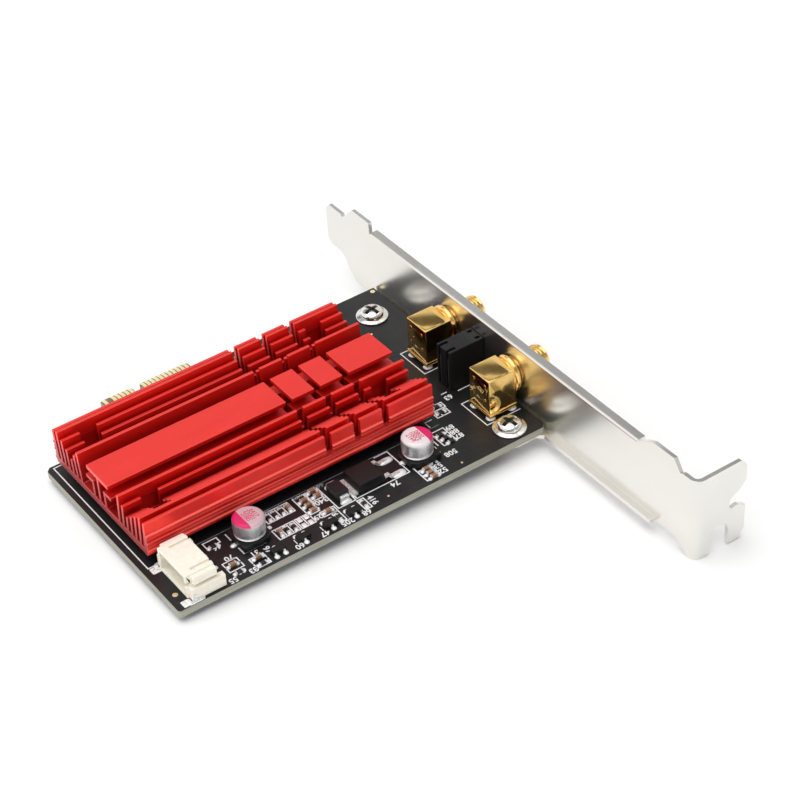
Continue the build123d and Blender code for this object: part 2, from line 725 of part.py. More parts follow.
resistors = [chip(place, resistor_height) for place in resistor_places]
capacitors = [chip(place, capacitor_height) for place in capacitor_places]
save("chip_resistors", [pieces[0] for pieces in resistors])
save("chip_capacitors", [pieces[0] for pieces in capacitors])
save("chip_terminals", [end for pieces in resistors + capacitors for end in pieces[1:]])

# Cable header: a side-entry shell open towards the free end, with pins, tails and soldered anchors
mid_y = (header_y[0] + header_y[1]) / 2
shell = box(header_x, header_y, (header_floor, header_top))
ledge_x = (header_x[0] + header_ledge_start, header_x[1])
ledge_y = (header_y[0] - header_ledge, header_y[1] + header_ledge)
rib_y = (header_y[0] - rib_reach, header_y[1] + rib_reach)
shell += box(ledge_x, ledge_y, (header_floor, header_ledge_top))
shell += box((header_x[0] + rib_start, header_x[1]), rib_y, rib_z)
for y in (ledge_y[0], ledge_y[1] - ear_width):
    ear_x = (header_x[1] - ear_overlap, header_x[1] + ear_reach)
    shell += box(ear_x, (y, y + ear_width), (header_floor, header_ledge_top))
mouth_y = (header_y[0] + header_wall, header_y[1] - header_wall)
mouth_z = (header_floor + header_wall, header_top - header_wall)
shell -= box((header_x[0], header_x[1] - header_back_wall), mouth_y, mouth_z)
shell -= box((header_x[0], header_x[0] + header_slot[0]), header_y,
             (header_ledge_top, header_ledge_top + header_slot[1]))
groove_x = (header_x[0] + groove_start, header_x[1])
groove_z = (header_top - header_groove[1], header_top)
for y in (header_y[0] + header_groove_inset, header_y[1] - header_groove_inset):
    shell -= box(groove_x, (y - header_groove[0] / 2, y + header_groove[0] / 2), groove_z)
pin_y = [mid_y + (i - (header_pins - 1) / 2) * header_pitch for i in range(header_pins)]
pin_start = header_x[0] + pin_inset
bend_x = [header_x[1] + reach for reach in pin_bend]
pins = []
for y in pin_y:
    side = (y - header_pin_half, y + header_pin_half)
    level = (header_pin_z - header_pin_half, header_pin_z + header_pin_half)
    pin = box((pin_start, bend_x[1]), side, level)
    pin += box(bend_x, side, (0, level[1]))
    pin += box((bend_x[0], header_x[1] + header_tail), side, (0, 2 * header_pin_half))
    pins.append(pin)
    shell -= box((header_x[1] - header_back_wall, header_x[1]), side, level)
save("cable_header_shell", shell)
save("cable_header_pins", pins)
anchors = []
anchor_x = (header_x[0] - anchor_out, header_x[0] - anchor_out + anchor_length)
anchor_post_x = (header_x[0] + anchor_post[0], header_x[0] + anchor_post[1])
for edge, way in ((ledge_y[0], -1), (ledge_y[1], 1)):
    side = sorted((edge, edge + way * anchor_thickness))
    anchors.append(box(anchor_x, side, (0, anchor_height)) + box(anchor_post_x, side, (0, anchor_post[2])))
save("cable_header_anchors", anchors)
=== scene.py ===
import math

import bmesh
import bpy
import numpy as np
from mathutils import Matrix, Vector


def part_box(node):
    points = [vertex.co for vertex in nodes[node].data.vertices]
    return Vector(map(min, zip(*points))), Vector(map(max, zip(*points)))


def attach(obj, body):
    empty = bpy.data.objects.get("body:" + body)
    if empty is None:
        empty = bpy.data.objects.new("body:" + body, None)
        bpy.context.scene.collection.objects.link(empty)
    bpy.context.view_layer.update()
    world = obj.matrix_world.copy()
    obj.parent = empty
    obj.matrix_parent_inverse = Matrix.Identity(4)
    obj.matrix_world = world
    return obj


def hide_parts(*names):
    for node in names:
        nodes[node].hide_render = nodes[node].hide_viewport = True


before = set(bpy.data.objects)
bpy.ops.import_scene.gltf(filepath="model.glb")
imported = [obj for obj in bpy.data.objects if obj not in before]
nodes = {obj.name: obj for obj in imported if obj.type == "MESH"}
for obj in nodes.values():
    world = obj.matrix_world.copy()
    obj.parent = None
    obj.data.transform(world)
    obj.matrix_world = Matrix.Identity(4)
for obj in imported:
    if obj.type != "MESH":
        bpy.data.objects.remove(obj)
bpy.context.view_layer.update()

# Board: a glass-epoxy laminate under black solder mask, routed to its stepped outline and left bare on
# the cut edges and the connector tongue. It keeps the shape that the CAD gives it.
corner = np.array([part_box("pcb")[0][0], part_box("pcb")[0][1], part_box("pcb")[1][2]])


def lay(points):
    """Card millimetres, from the board's front left corner on its component face, as scene metres."""
    return corner + np.asarray(points, float) * 0.001


def measured(node):
    """A CAD node's lowest and highest corners in card millimetres."""
    return [(np.array(end) - corner) * 1000 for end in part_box(node)]


def link(tree, start, socket, end, name):
    """Joins one node's output to another node's input, both named or numbered."""
    tree.links.new(start.outputs[socket], end.inputs[name])


def grain(tree, scale, stretch=(1, 1, 1), detail=4.0):
    """A noise over Object coordinates, in features per metre, drawn out along an axis by a small stretch."""
    place = tree.nodes.new("ShaderNodeTexCoord")
    turn = tree.nodes.new("ShaderNodeMapping")
    noise = tree.nodes.new("ShaderNodeTexNoise")
    turn.inputs["Scale"].default_value = stretch
    noise.inputs["Scale"].default_value = scale
    noise.inputs["Detail"].default_value = detail
    link(tree, place, "Object", turn, "Vector")
    link(tree, turn, "Vector", noise, "Vector")
    return noise


def spread(tree, source, socket, low, high, start=0.3, end=0.7):
    """Maps the middle of a noise onto the range from low to high."""
    node = tree.nodes.new("ShaderNodeMapRange")
    node.inputs["From Min"].default_value = start
    node.inputs["From Max"].default_value = end
    node.inputs["To Min"].default_value = low
    node.inputs["To Max"].default_value = high
    link(tree, source, socket, node, "Value")
    return node


def blend(tree, factor, socket, one, two):
    """Mixes two colours by a factor. A colour is three numbers or the node that gives it."""
    node = tree.nodes.new("ShaderNodeMix")
    node.data_type = "RGBA"
    link(tree, factor, socket, node, "Factor")
    for colour, name in ((one, "A"), (two, "B")):
        target = [s for s in node.inputs if s.name == name and s.type == "RGBA"][0]
        if isinstance(colour, bpy.types.Node):
            tree.links.new([s for s in colour.outputs if s.type == "RGBA"][-1], target)
        else:
            target.default_value = (*colour, 1)
    return node


def calculated(tree, operation, one, two=None):
    """One of the shader's operations on two values, each a node's output or a number."""
    node = tree.nodes.new("ShaderNodeMath")
    node.operation = operation
    for place, value in enumerate((one, two)):
        if isinstance(value, float):
            node.inputs[place].default_value = value
        elif value is not None:
            tree.links.new(value, node.inputs[place])
    return node


def roughened(tree, noise, strength, depth, shader):
    """A relief in the shader's normal that follows a noise."""
    bump = tree.nodes.new("ShaderNodeBump")
    bump.inputs["Strength"].default_value = strength
    bump.inputs["Distance"].default_value = depth
    link(tree, noise, "Fac", bump, "Height")
    link(tree, bump, "Normal", shader, "Normal")


def colour_in(tree, node, shader):
    """Feeds a mixed colour to the shader's base colour."""
    out = [s for s in node.outputs if s.type == "RGBA"][-1]
    tree.links.new(out, shader.inputs["Base Color"])


def shader_of(name):
    """A new material and its shader."""
    material = bpy.data.materials.new(name)
    material.use_nodes = True
    return material, material.node_tree, material.node_tree.nodes["Principled BSDF"]


def finish(name, dark, light, rough, metallic=0.0, scale=3000, stretch=(1, 1, 1), relief=0.0, depth=2e-5,
           **more):
    """A finish with its colour, gloss and fine relief all drawn by one noise: dark to light, rough[0] to
    rough[1]."""
    material, tree, shader = shader_of(name)
    noise = grain(tree, scale, stretch)
    mask = spread(tree, noise, "Fac", 0, 1)
    colour_in(tree, blend(tree, mask, "Result", dark, light), shader)
    link(tree, spread(tree, noise, "Fac", *rough), "Result", shader, "Roughness")
    if relief:
        roughened(tree, noise, relief, depth, shader)
    shader.inputs["Metallic"].default_value = metallic
    for socket, value in more.items():
        shader.inputs[socket.replace("_", " ")].default_value = value
    return material


def paint(node, material):
    """Gives a CAD node its finish."""
    mesh = nodes[node].data
    mesh.materials.clear()
    mesh.materials.append(material)


mask_end_y = 55.6
step_x = 43.9


def masked_laminate():
    """Black mask on the two faces and bare laminate where the surface is cut or the tongue begins."""
    material, tree, shader = shader_of("black_mask_board")
    place = tree.nodes.new("ShaderNodeTexCoord")
    normal = tree.nodes.new("ShaderNodeSeparateXYZ")
    link(tree, place, "Normal", normal, "Vector")
    flat = calculated(tree, "ABSOLUTE", normal.outputs["Z"])
    face = spread(tree, flat, "Value", 0, 1, 0.90, 0.93)
    spot = tree.nodes.new("ShaderNodeSeparateXYZ")
    link(tree, place, "Object", spot, "Vector")
    tongue_start = float(lay((0, mask_end_y, 0))[1])
    step = float(lay((step_x, 0, 0))[0])
    before = spread(tree, spot, "Y", 1, 0, tongue_start, tongue_start + 0.0001)
    beside = spread(tree, spot, "X", 0, 1, step - 0.0001, step)
    covered = calculated(tree, "MAXIMUM", before.outputs["Result"], beside.outputs["Result"])
    masked = calculated(tree, "MULTIPLY", face.outputs["Result"], covered.outputs["Value"])
    layers = spread(tree, grain(tree, 900, (0.15, 0.15, 9), 2), "Fac", 0, 1)
    laminate = blend(tree, layers, "Result", (0.30, 0.29, 0.235), (0.46, 0.45, 0.38))
    weave = spread(tree, grain(tree, 350, (1, 1, 1), 5), "Fac", 0, 1)
    bare = blend(tree, weave, "Result", (0.15, 0.13, 0.075), (0.23, 0.20, 0.12))
    cut = blend(tree, face, "Result", laminate, bare)
    mask = blend(tree, weave, "Result", (0.007, 0.007, 0.008), (0.012, 0.012, 0.013))
    colour_in(tree, blend(tree, masked, "Value", cut, mask), shader)
    link(tree, spread(tree, masked, "Value", 0.8, 0.38, 0, 1), "Result", shader, "Roughness")
    roughened(tree, grain(tree, 9000), 0.12, 1e-5, shader)
    shader.inputs["Specular IOR Level"].default_value = 0.4
    return material


paint("pcb", masked_laminate())


# Copper under the mask: tracks and pours a few hundredths proud of the laminate, black like the rest but
# slightly paler, with the round ends and bends that the etched artwork has.
def skin(grid, wrapped=True, ring=False, closed=True):
    """Points of rows by columns as vertices and faces: quads between rows, columns wrapped round, rows
    wrapped too for a ring, and otherwise a flat face over the first and the last row."""
    rows, columns = grid.shape[:2]
    index = np.arange(rows * columns).reshape(rows, columns)
    across = np.roll(index, -1, axis=1) if wrapped else index[:, 1:]
    here = index if wrapped else index[:, :-1]
    if ring:
        quads = np.stack([here, across, np.roll(across, -1, 0), np.roll(here, -1, 0)], -1)
    else:
        quads = np.stack([here[:-1], across[:-1], across[1:], here[1:]], -1)
    faces = quads.reshape(-1, 4).tolist()
    if closed and not ring:
        faces += [index[0, ::-1].tolist(), index[-1].tolist()]
    return grid.reshape(-1, 3), faces


def piece(name, skins, material, replaced=(), smooth=35.0):
    """One object from many skins: doubles merged, faces turned outwards, smooth below the given angle."""
    starts = np.cumsum([0] + [len(points) for points, _ in skins])
    points = np.concatenate([points for points, _ in skins])
    faces = [[start + i for i in face] for start, (_, group) in zip(starts, skins) for face in group]
    mesh = bpy.data.meshes.new(name)
    mesh.from_pydata(points.tolist(), [], faces)
    work = bmesh.new()
    work.from_mesh(mesh)
    bmesh.ops.remove_doubles(work, verts=work.verts, dist=1e-7)
    bmesh.ops.dissolve_degenerate(work, edges=work.edges, dist=1e-7)
    bmesh.ops.recalc_face_normals(work, faces=work.faces)
    work.to_mesh(mesh)
    work.free()
    mesh.polygons.foreach_set("use_smooth", np.ones(len(mesh.polygons), bool))
    mesh.set_sharp_from_angle(angle=math.radians(smooth))
    mesh.materials.append(material)
    made = bpy.data.objects.new(name, mesh)
    bpy.context.scene.collection.objects.link(made)
    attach(made, "root")
    if replaced:
        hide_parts(*replaced)
    return made


def stroke(path, width, low, high, ring=False):
    """A flat line: a rectangle of the width between two heights, carried along a path of (x, y) points in
    card millimetres, with the corners mitred."""
    path = np.asarray(path, float)
    ahead = np.roll(path, -1, 0) - path
    if not ring:
        ahead[-1] = ahead[-2]
    ahead /= np.linalg.norm(ahead, axis=1)[:, None]
    behind = np.roll(ahead, 1, 0)
    if not ring:
        behind[0] = ahead[0]
    side = np.stack([-(ahead + behind)[:, 1], (ahead + behind)[:, 0]], 1)
    side /= np.linalg.norm(side, axis=1)[:, None]
    cosine = np.abs((side * np.stack([-ahead[:, 1], ahead[:, 0]], 1)).sum(1))
    side *= (width / 2 / np.maximum(cosine, 0.4))[:, None]
    rim = [(1, low), (-1, low), (-1, high), (1, high)]
    grid = [np.column_stack([path + sign * side, np.full(len(path), z)]) for sign, z in rim]
    return skin(lay(np.stack(grid, 1)), ring=ring)


def arc(centre, radius, start, end, count=13):
    """Points on a circle from one angle to another, in degrees."""
    turn = np.radians(np.linspace(start, end, count))
    return np.stack([centre[0] + radius * np.cos(turn), centre[1] + radius * np.sin(turn)], 1)


masked_copper = finish("masked_copper", (0.011, 0.011, 0.012), (0.016, 0.016, 0.018), (0.3, 0.4), scale=800,
                       Specular_IOR_Level=0.3)
tracks = []
track_top = 0.018
track_width = 0.22
for step in range(3):
    reach = 2.1 + 0.75 * step
    tracks.append(stroke(np.vstack([[(63.5, 5.2 - reach)], arc((71.5, 5.2), reach, -90, 60),
                                    [(66.0, 7.6 + reach * 1.1)]]), track_width, 0, track_top))
for step in range(3):
    reach = 1.6 + 0.7 * step
    tracks.append(stroke(np.vstack([[(44.5, 5.0 - reach)], arc((55.5, 5.0), reach, -90, 0),
                                    [(55.5 + reach, 12.4)]]), track_width, 0, track_top))
    side = 70.2 + 0.7 * step
    bend = arc((73.2, 21.0), 73.2 - side, 180, 250, 7)
    tracks.append(stroke(np.vstack([[(side, 47.5), (side, 21.0)], bend]), track_width, 0, track_top))
for path in ([(9.6, 5.4), (12.0, 5.4), (12.9, 6.3), (16.8, 6.3)],
             [(9.6, 7.4), (12.4, 7.4), (13.2, 8.2), (16.8, 8.2)]):
    tracks.append(stroke(path, 0.3, 0, track_top))
piece("board_tracks", tracks, masked_copper)

# Printed legend: white epoxy ink, screened on the mask. Frames round the parts, the heatsink's outline, and
# plain numbers beside the parts.
legend_white = finish("legend_ink", (0.72, 0.72, 0.73), (0.90, 0.90, 0.90), (0.55, 0.7), scale=2500)
LEGEND_TOP = 0.02


def lettered(text, place, size, turn, height, depth):
    """A line of text as the skin of its own outline: made a mesh, thickened, turned about Z and put in
    place."""
    curve = bpy.data.curves.new("lettering", "FONT")
    curve.body = text
    curve.size = size
    curve.align_x = "CENTER"
    curve.align_y = "CENTER"
    curve.extrude = depth / 2
    curve.offset = 0.026 * size
    curve.resolution_u = 3
    shown = bpy.data.objects.new("lettering", curve)
    mesh = bpy.data.meshes.new_from_object(shown)
    points = np.empty(len(mesh.vertices) * 3)
    mesh.vertices.foreach_get("co", points)
    points = points.reshape(-1, 3)
    faces = [list(face.vertices) for face in mesh.polygons]
    cosine, sine = math.cos(math.radians(turn)), math.sin(math.radians(turn))
    across, along, up = points.T
    turned = np.stack([cosine * across - sine * along, sine * across + cosine * along, up], 1)
    bpy.data.objects.remove(shown)
    bpy.data.curves.remove(curve)
    bpy.data.meshes.remove(mesh)
    return lay(turned + np.array([place[0], place[1], height + depth / 2])), faces


def cells(x, y, walls=(), width=0.26):
    """A closed frame with walls across it at the given places along X."""
    outline = [(x[0], y[0]), (x[1], y[0]), (x[1], y[1]), (x[0], y[1])]
    lines = [stroke(outline, width, 0, LEGEND_TOP, True)]
    return lines + [stroke([(wall, y[0]), (wall, y[1])], width, 0, LEGEND_TOP) for wall in walls]


def number_row(entries, size, turn=180):
    """Plain numbers, each a text with the place of its middle."""
    return [lettered(text, (x, y), size, turn, 0, LEGEND_TOP) for text, x, y in entries]


# can corners, diode and power transistor, then the heatsink's outline and the jacks
legend = [stroke(path, 0.25, 0, LEGEND_TOP) for path in (
    [(17.6, 12.6), (17.6, 10.4)], [(17.6, 7.9), (17.6, 5.9), (22.5, 5.9), (23.3, 6.6)],
    [(56.4, 7.6), (57.8, 6.1), (62.5, 6.1), (63.2, 6.7)], [(64.0, 8.3), (64.0, 10.2)],
    [(66.0, 13.8), (66.0, 15.6), (67.7, 15.6)],
    [(40.0, 13.0), (38.45, 13.0), (38.45, 5.3), (42.35, 5.3), (42.35, 7.7)],
    [(42.75, 7.7), (42.75, 5.5), (55.1, 5.5), (55.1, 13.2), (52.0, 13.2)],
    [(10.2, 13.45), (1.38, 13.45), (1.38, 49.8), (6.0, 49.8)], [(73.8, 20.8), (75.2, 20.8)],
    [(77.2, 19.7), (80.3, 19.7)])]
for jack_y in (32.55, 11.6):
    front, back = jack_y - 4.25, jack_y + 4.25
    legend.append(stroke([(83.4, front), (75.2, front), (75.2, back), (77.0, back)], 0.22, 0, LEGEND_TOP))
# frames round the small parts
for x, y in (((12.8, 15.8), (11.4, 12.9)), ((12.8, 15.9), (3.1, 4.5)), ((12.8, 15.9), (4.5, 5.9)),
             ((17.4, 20.4), (0.9, 2.4)), ((17.4, 20.4), (2.4, 3.9)), ((32.9, 35.3), (7.1, 12.9)),
             ((35.6, 38.0), (10.0, 12.9)), ((34.9, 38.0), (5.0, 6.5)), ((36.5, 37.95), (1.85, 4.9)),
             ((42.3, 43.75), (1.8, 4.9)), ((56.2, 59.4), (1.2, 2.6)), ((56.2, 59.4), (2.9, 4.3)),
             ((56.2, 59.4), (4.5, 5.8)), ((64.9, 67.9), (7.6, 9.0)), ((64.9, 67.9), (9.2, 10.6)),
             ((64.9, 67.9), (10.8, 12.2)), ((69.2, 72.3), (17.3, 18.9))):
    legend += cells(x, y)
legend += cells((25.6, 31.6), (9.95, 12.9), (27.15, 28.65, 30.15))
legend += cells((24.95, 29.6), (4.85, 7.8), (26.6, 28.1)) + cells((30.0, 33.0), (4.85, 7.8), (31.5,))
legend += cells((68.9, 72.0), (15.2, 16.9), (70.2,))
# the outlines of the small transistors show beside their leads
for x in (26.85, 32.7, 38.55):
    legend.append(stroke([(x, 3.2), (x, 1.9)], 0.2, 0, LEGEND_TOP))
    legend.append(stroke([(x + 2.5, 2.0), (x + 3.2, 2.1)], 0.2, 0, LEGEND_TOP))
legend += number_row((("46", 14.5, 10.6), ("70", 14.7, 6.65), ("92", 14.5, 2.25), ("55", 12.2, 1.05),
                      ("83", 16.6, 1.05), ("31", 19.2, 4.75), ("60", 26.9, 1.15), ("47", 32.5, 1.1),
                      ("205", 37.6, 1.1), ("68", 42.0, 1.15), ("74", 50.9, 4.5), ("340", 37.0, 9.15),
                      ("29", 34.0, 5.75), ("508", 64.6, 5.15), ("87", 69.0, 8.3), ("88", 69.0, 9.9),
                      ("89", 69.0, 11.5), ("52", 60.4, 1.9), ("53", 60.4, 3.6), ("54", 60.4, 5.15),
                      ("63", 74.4, 19.25)), 1.85)
legend += number_row((("97", 21.6, 4.1), ("416", 44.8, 3.3)), 1.8, -90)
piece("legend", legend, legend_white)
# The line and numbers along the heatsink's front lie under its overhang: the same white ink, painted grey as
# shade.
shaded_ink = finish("legend_ink_shaded", (0.16, 0.16, 0.165), (0.30, 0.30, 0.305), (0.5, 0.65), scale=1800)
shaded_legend = [stroke([(11.4, 13.5), (67.9, 13.5)], 0.14, 0, LEGEND_TOP)]
shaded_legend += number_row((("20", 27.2, 12.9), ("7", 29.9, 13.05), ("175", 34.0, 13.05), ("66", 39.2, 12.95)),
                          1.5)
piece("legend_ruler", shaded_legend, shaded_ink)


# Gold plating: thin gold over nickel on the connector's contacts, and on the small round aiming marks and
# test lands that the mask leaves open.
def plated_gold(name, dark, light, rough, relief):
    """Warm gold over a surface that isn't quite flat, so that what it mirrors is slightly drawn."""
    return finish(name, dark, light, rough, 1.0, 450, (1, 0.6, 1), relief, 3e-5)


contact_gold = plated_gold("contact_gold", (0.92, 0.76, 0.42), (1.0, 0.87, 0.55), (0.3, 0.42), 0.2)
contact_low, contact_high = measured("edge_contacts")
board_low, board_high = measured("pcb")
tip = board_high[1]
bevel_start = contact_high[1]
bevel_depth = 0.45
contact_half = 0.38
short_end = contact_low[1] + 3.2


def finger(x, end, side):
    """A contact on one face of the tongue, 1 above and -1 below: a thin rectangle carried along Y, level up
    to the bevel and then down its slope."""
    along = np.unique([contact_low[1], min(end, bevel_start), end])
    slope = bevel_depth * np.clip((along - bevel_start) / (tip - bevel_start), 0, 1)
    middle = board_low[2] / 2
    face = middle + side * (-middle - slope)
    ends = [(-1, -0.01), (1, -0.01), (1, 0.05), (-1, 0.05)]
    grid = [np.stack([np.full(len(along), x + way * contact_half), along, face + side * lift], -1)
            for way, lift in ends]
    return skin(lay(np.stack(grid, 1)))


end_margin = 0.35
tip_margin = 0.14
short_row = contact_low[0] + end_margin + np.arange(7)
long_row = contact_high[0] - end_margin - np.arange(11)
fingers = [finger(x, tip - tip_margin, side) for x in (*short_row, *long_row) for side in (1, -1)
           if (x, side) not in ((short_row[1], 1), (long_row[0], -1))]
fingers += [finger(short_row[1], short_end, 1), finger(long_row[0], short_end, -1)]
piece("contact_fingers", fingers, contact_gold, ("edge_contacts",))


def mound(centre, across, along, height, power=2.6, count=24, rise=6):
    """A low closed heap on a flat foot: a superellipse shrinking by the cosine while it rises by the sine."""
    turn = np.linspace(0, 2 * np.pi, count, endpoint=False)
    lift = np.linspace(0, np.pi / 2, rise)[:, None]
    bend = lambda value: np.sign(value) * np.abs(value) ** (2 / power)
    x = centre[0] + across * np.cos(lift) * bend(np.cos(turn))
    y = centre[1] + along * np.cos(lift) * bend(np.sin(turn))
    z = centre[2] + height * np.sin(lift) * np.ones(count)
    return skin(lay(np.stack([x, y, z], -1)))


gold_lands = [mound((x, y, 0), 0.55, 0.55, 0.03, 2, 28, 3) for x, y in ((83.2, 58.3), (1.8, 4.4))]
gold_lands += [mound((x, y, 0), 0.28, 0.28, 0.025, 2, 14, 3) for x, y in
               ((61.9, 6.9), (64.6, 1.5), (47.9, 2.4), (72.9, 40.4), (71.8, 30.2), (74.4, 46.1), (48.6, 55.2),
                (53.4, 56.1), (60.3, 54.7), (66.7, 56.4), (70.2, 53.8))]
piece("gold_lands", gold_lands, contact_gold)


# Heatsink: an aluminium extrusion, cross-sawn and milled, then anodised red. The die leaves fine lines along
# its length, and the tumbled edges are a little rounded. A pale red is painted on them as a highlight, and a
# deeper red down the slots and the wall grooves as painted shade.
def softened(node, width, material, steps=2, angle=30.0, shortest=0.0):
    """A copy of a CAD node with its triangles merged to faces and its edges rounded by a bevel, but for the
    edges below the shortest length, such as the steps of a small arc."""
    mesh = nodes[node].data.copy()
    work = bmesh.new()
    work.from_mesh(mesh)
    bmesh.ops.remove_doubles(work, verts=work.verts, dist=2e-6)
    bmesh.ops.dissolve_limit(work, angle_limit=math.radians(0.5), verts=work.verts, edges=work.edges)
    weight = work.edges.layers.float.new("bevel_weight_edge")
    for edge in work.edges:
        long_enough = edge.calc_length() > shortest * 0.001
        edge[weight] = float(long_enough and edge.calc_face_angle(0) > math.radians(angle))
    work.to_mesh(mesh)
    work.free()
    mesh.polygons.foreach_set("use_smooth", np.ones(len(mesh.polygons), bool))
    mesh.set_sharp_from_angle(angle=math.radians(angle))
    mesh.materials.clear()
    mesh.materials.append(material)
    made = bpy.data.objects.new(node + "_soft", mesh)
    bpy.context.scene.collection.objects.link(made)
    bevel = made.modifiers.new("edges", "BEVEL")
    bevel.width = width * 0.001
    bevel.segments = steps
    bevel.limit_method = "WEIGHT"
    bevel.use_clamp_overlap = False
    bevel.harden_normals = True
    flats = made.modifiers.new("flats", "WEIGHTED_NORMAL")
    flats.keep_sharp = True
    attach(made, "root")
    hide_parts(node)
    return made


def red_anodised():
    """Dyed oxide on aluminium: a satin metal with drawn-out die lines in its gloss and relief. Down the slots
    and in the grooves of the two walls the red is painted deeper as shade, by Object coordinates: the height,
    and the distance from the middle of the section. On the rounded edges, whose normals lie between level and
    upright, a pale red is painted as a highlight."""
    material, tree, shader = shader_of("red_anodised")
    lines = grain(tree, 2500, (0.02, 1, 1), 3)
    cloud = spread(tree, grain(tree, 250, (0.3, 1, 1), 4), "Fac", 0, 1)
    blasted = blend(tree, cloud, "Result", (0.94, 0.013, 0.006), (1.0, 0.019, 0.009))
    place = tree.nodes.new("ShaderNodeTexCoord")
    spot = tree.nodes.new("ShaderNodeSeparateXYZ")
    link(tree, place, "Object", spot, "Vector")
    low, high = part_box("heatsink")
    half = float(high[1] - low[1]) / 2
    off = calculated(tree, "SUBTRACT", spot.outputs["Y"], float(high[1] + low[1]) / 2)
    aside = calculated(tree, "ABSOLUTE", off.outputs["Value"])
    slot_low, slot_high, rib_top = [float(lay((0, 0, z))[2]) for z in (4.0, 9.4, 7.3)]
    # painted shade: the red goes deeper down the slots and in the grooves of the two walls
    down = spread(tree, spot, "Z", 1, 0, slot_low, slot_high)
    within = spread(tree, aside, "Value", 1, 0, half - 0.00085, half - 0.0007)
    below = spread(tree, spot, "Z", 1, 0, rib_top - 0.00005, rib_top)
    sunk = spread(tree, aside, "Value", 0.75, 0, half - 0.0005, half - 0.00018)
    slots = calculated(tree, "MULTIPLY", down.outputs["Result"], within.outputs["Result"])
    grooves = calculated(tree, "MULTIPLY", below.outputs["Result"], sunk.outputs["Result"])
    slot_shade = calculated(tree, "MAXIMUM", slots.outputs["Value"], grooves.outputs["Value"])
    shade_painted_red = blend(tree, slot_shade, "Value", blasted, (0.44, 0.005, 0.005))
    # painted highlight: a pale red on the rounded edges, picked out by how far their normals tilt
    facing = tree.nodes.new("ShaderNodeSeparateXYZ")
    link(tree, place, "Normal", facing, "Vector")
    tilted = spread(tree, facing, "Z", 0, 1, 0.35, 0.55)
    upright = spread(tree, facing, "Z", 1, 0, 0.86, 0.96)
    edges = calculated(tree, "MULTIPLY", tilted.outputs["Result"], upright.outputs["Result"])
    colour_in(tree, blend(tree, edges, "Value", shade_painted_red, (1.0, 0.11, 0.08)), shader)
    link(tree, spread(tree, lines, "Fac", 0.38, 0.48), "Result", shader, "Roughness")
    roughened(tree, lines, 0.08, 8e-6, shader)
    shader.inputs["Metallic"].default_value = 0.62
    shader.inputs["Coat Weight"].default_value = 0.8
    shader.inputs["Coat Roughness"].default_value = 0.35
    return material


softened("heatsink", 0.07, red_anodised(), 2)

# What holds the heatsink and what it cools: steel studs with nuts below the board, the radio chip in black
# moulding, and a grey silicone pad pressed between chip and base.
bright_nickel = finish("bright_nickel", (0.70, 0.69, 0.66), (0.82, 0.81, 0.78), (0.12, 0.22), 1.0, 1800,
                       relief=0.06, depth=1e-5)
black_moulding = finish("black_moulding", (0.005, 0.005, 0.0055), (0.011, 0.0105, 0.011), (0.34, 0.46),
                        scale=6000, relief=0.2, depth=1e-5, Specular_IOR_Level=0.35)
grey_silicone = finish("grey_silicone", (0.28, 0.29, 0.30), (0.38, 0.39, 0.40), (0.7, 0.85), relief=0.2)
softened("heatsink_nuts", 0.15, bright_nickel)
softened("heatsink_screws", 0.15, bright_nickel)
softened("radio_chip", 0.08, black_moulding)
softened("thermal_pad", 0.1, grey_silicone)


# Bracket: one nickel-plated steel sheet, blanked and folded. Rolling leaves it satin, so it mirrors the board
# and the jacks softly, and its blanked edges are slightly rolled over.
def satin_nickel():
    """Plated sheet: a soft mirror with faint clouding along the bracket's length, in its colour and its
    gloss."""
    material, tree, shader = shader_of("satin_nickel")
    cloud = grain(tree, 120, (1, 0.4, 1), 4)
    tint = spread(tree, cloud, "Fac", 0, 1)
    colour_in(tree, blend(tree, tint, "Result", (0.79, 0.772, 0.73), (0.83, 0.815, 0.775)), shader)
    link(tree, spread(tree, cloud, "Fac", 0.25, 0.275), "Result", shader, "Roughness")
    shader.inputs["Metallic"].default_value = 1.0
    return material


softened("bracket", 0.06, satin_nickel(), 2, shortest=0.25)


# Bracket screws: pan heads with a cross recess on flat washers with rolled rims, both bright nickel.
# They clamp the board to the bracket's two feet.
def turned(profile, centre, axis, count=56):
    """A turned shape: a profile of (radius, height) pairs in millimetres, spun about an axis through
    centre."""
    profile = np.asarray(profile, float)
    turn = np.linspace(0, 2 * np.pi, count, endpoint=False)
    a = profile[:, :1] * np.cos(turn)
    b = profile[:, :1] * np.sin(turn)
    h = profile[:, 1:] * np.ones(count)
    parts = {"z": (a, b, h), "x": (h, a, b)}[axis]
    return skin(lay(np.stack(parts, -1) + np.asarray(centre, float)))


cross_turn = math.radians(12)


